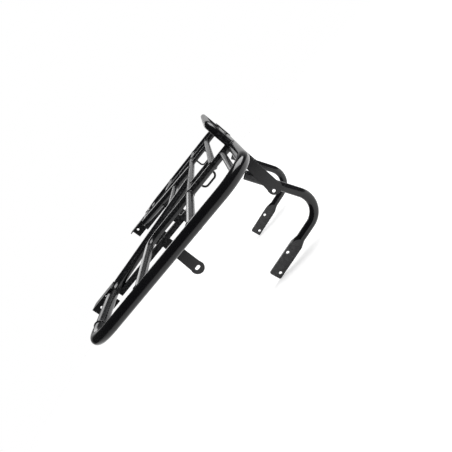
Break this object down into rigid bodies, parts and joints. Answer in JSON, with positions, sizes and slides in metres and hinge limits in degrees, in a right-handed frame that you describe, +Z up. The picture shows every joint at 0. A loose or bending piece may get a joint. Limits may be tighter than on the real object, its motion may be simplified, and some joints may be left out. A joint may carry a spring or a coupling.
{
  "type": "quad bike rear rack",
  "caption": "Welded round-tube load rack for the back of a quad bike: outer hoop with a seat cut-out, raised back bar, hanging tabs and hooked bolt-on legs.",
  "frame": {"origin": "middle of the box around the whole rack; y = 0 is its plane of symmetry", "axes": "+X towards the back of the vehicle, +Y towards the vehicle's right side, +Z up"},
  "size_m": [0.483, 0.966, 0.3784],
  "materials": {
    "black_paint": "gloss"
  },
  "bodies": {
    "root": {"outer_hoop": "black_paint", "front_tube_left": "black_paint", "front_tube_right": "black_paint", "inner_rail_left": "black_paint", "inner_rail_right": "black_paint", "middle_bar": "black_paint", "side_tie_left": "black_paint", "side_tie_right": "black_paint", "back_bar": "black_paint", "cutout_bar": "black_paint", "short_tie_left": "black_paint", "short_tie_right": "black_paint", "corner_tie_left": "black_paint", "corner_tie_right": "black_paint", "raised_bar": "black_paint", "lamp_plate": "black_paint", "front_bracket_left": "black_paint", "front_bracket_right": "black_paint", "under_rail_left": "black_paint", "under_rail_right": "black_paint", "spacer_left": "black_paint", "spacer_right": "black_paint", "slotted_tab_left": "black_paint", "slotted_tab_right": "black_paint", "back_bracket_left": "black_paint", "back_bracket_right": "black_paint", "leg_left": "black_paint", "leg_right": "black_paint", "lashing_loop_left": "black_paint", "lashing_loop_right": "black_paint"}
  },
  "joints": []
}
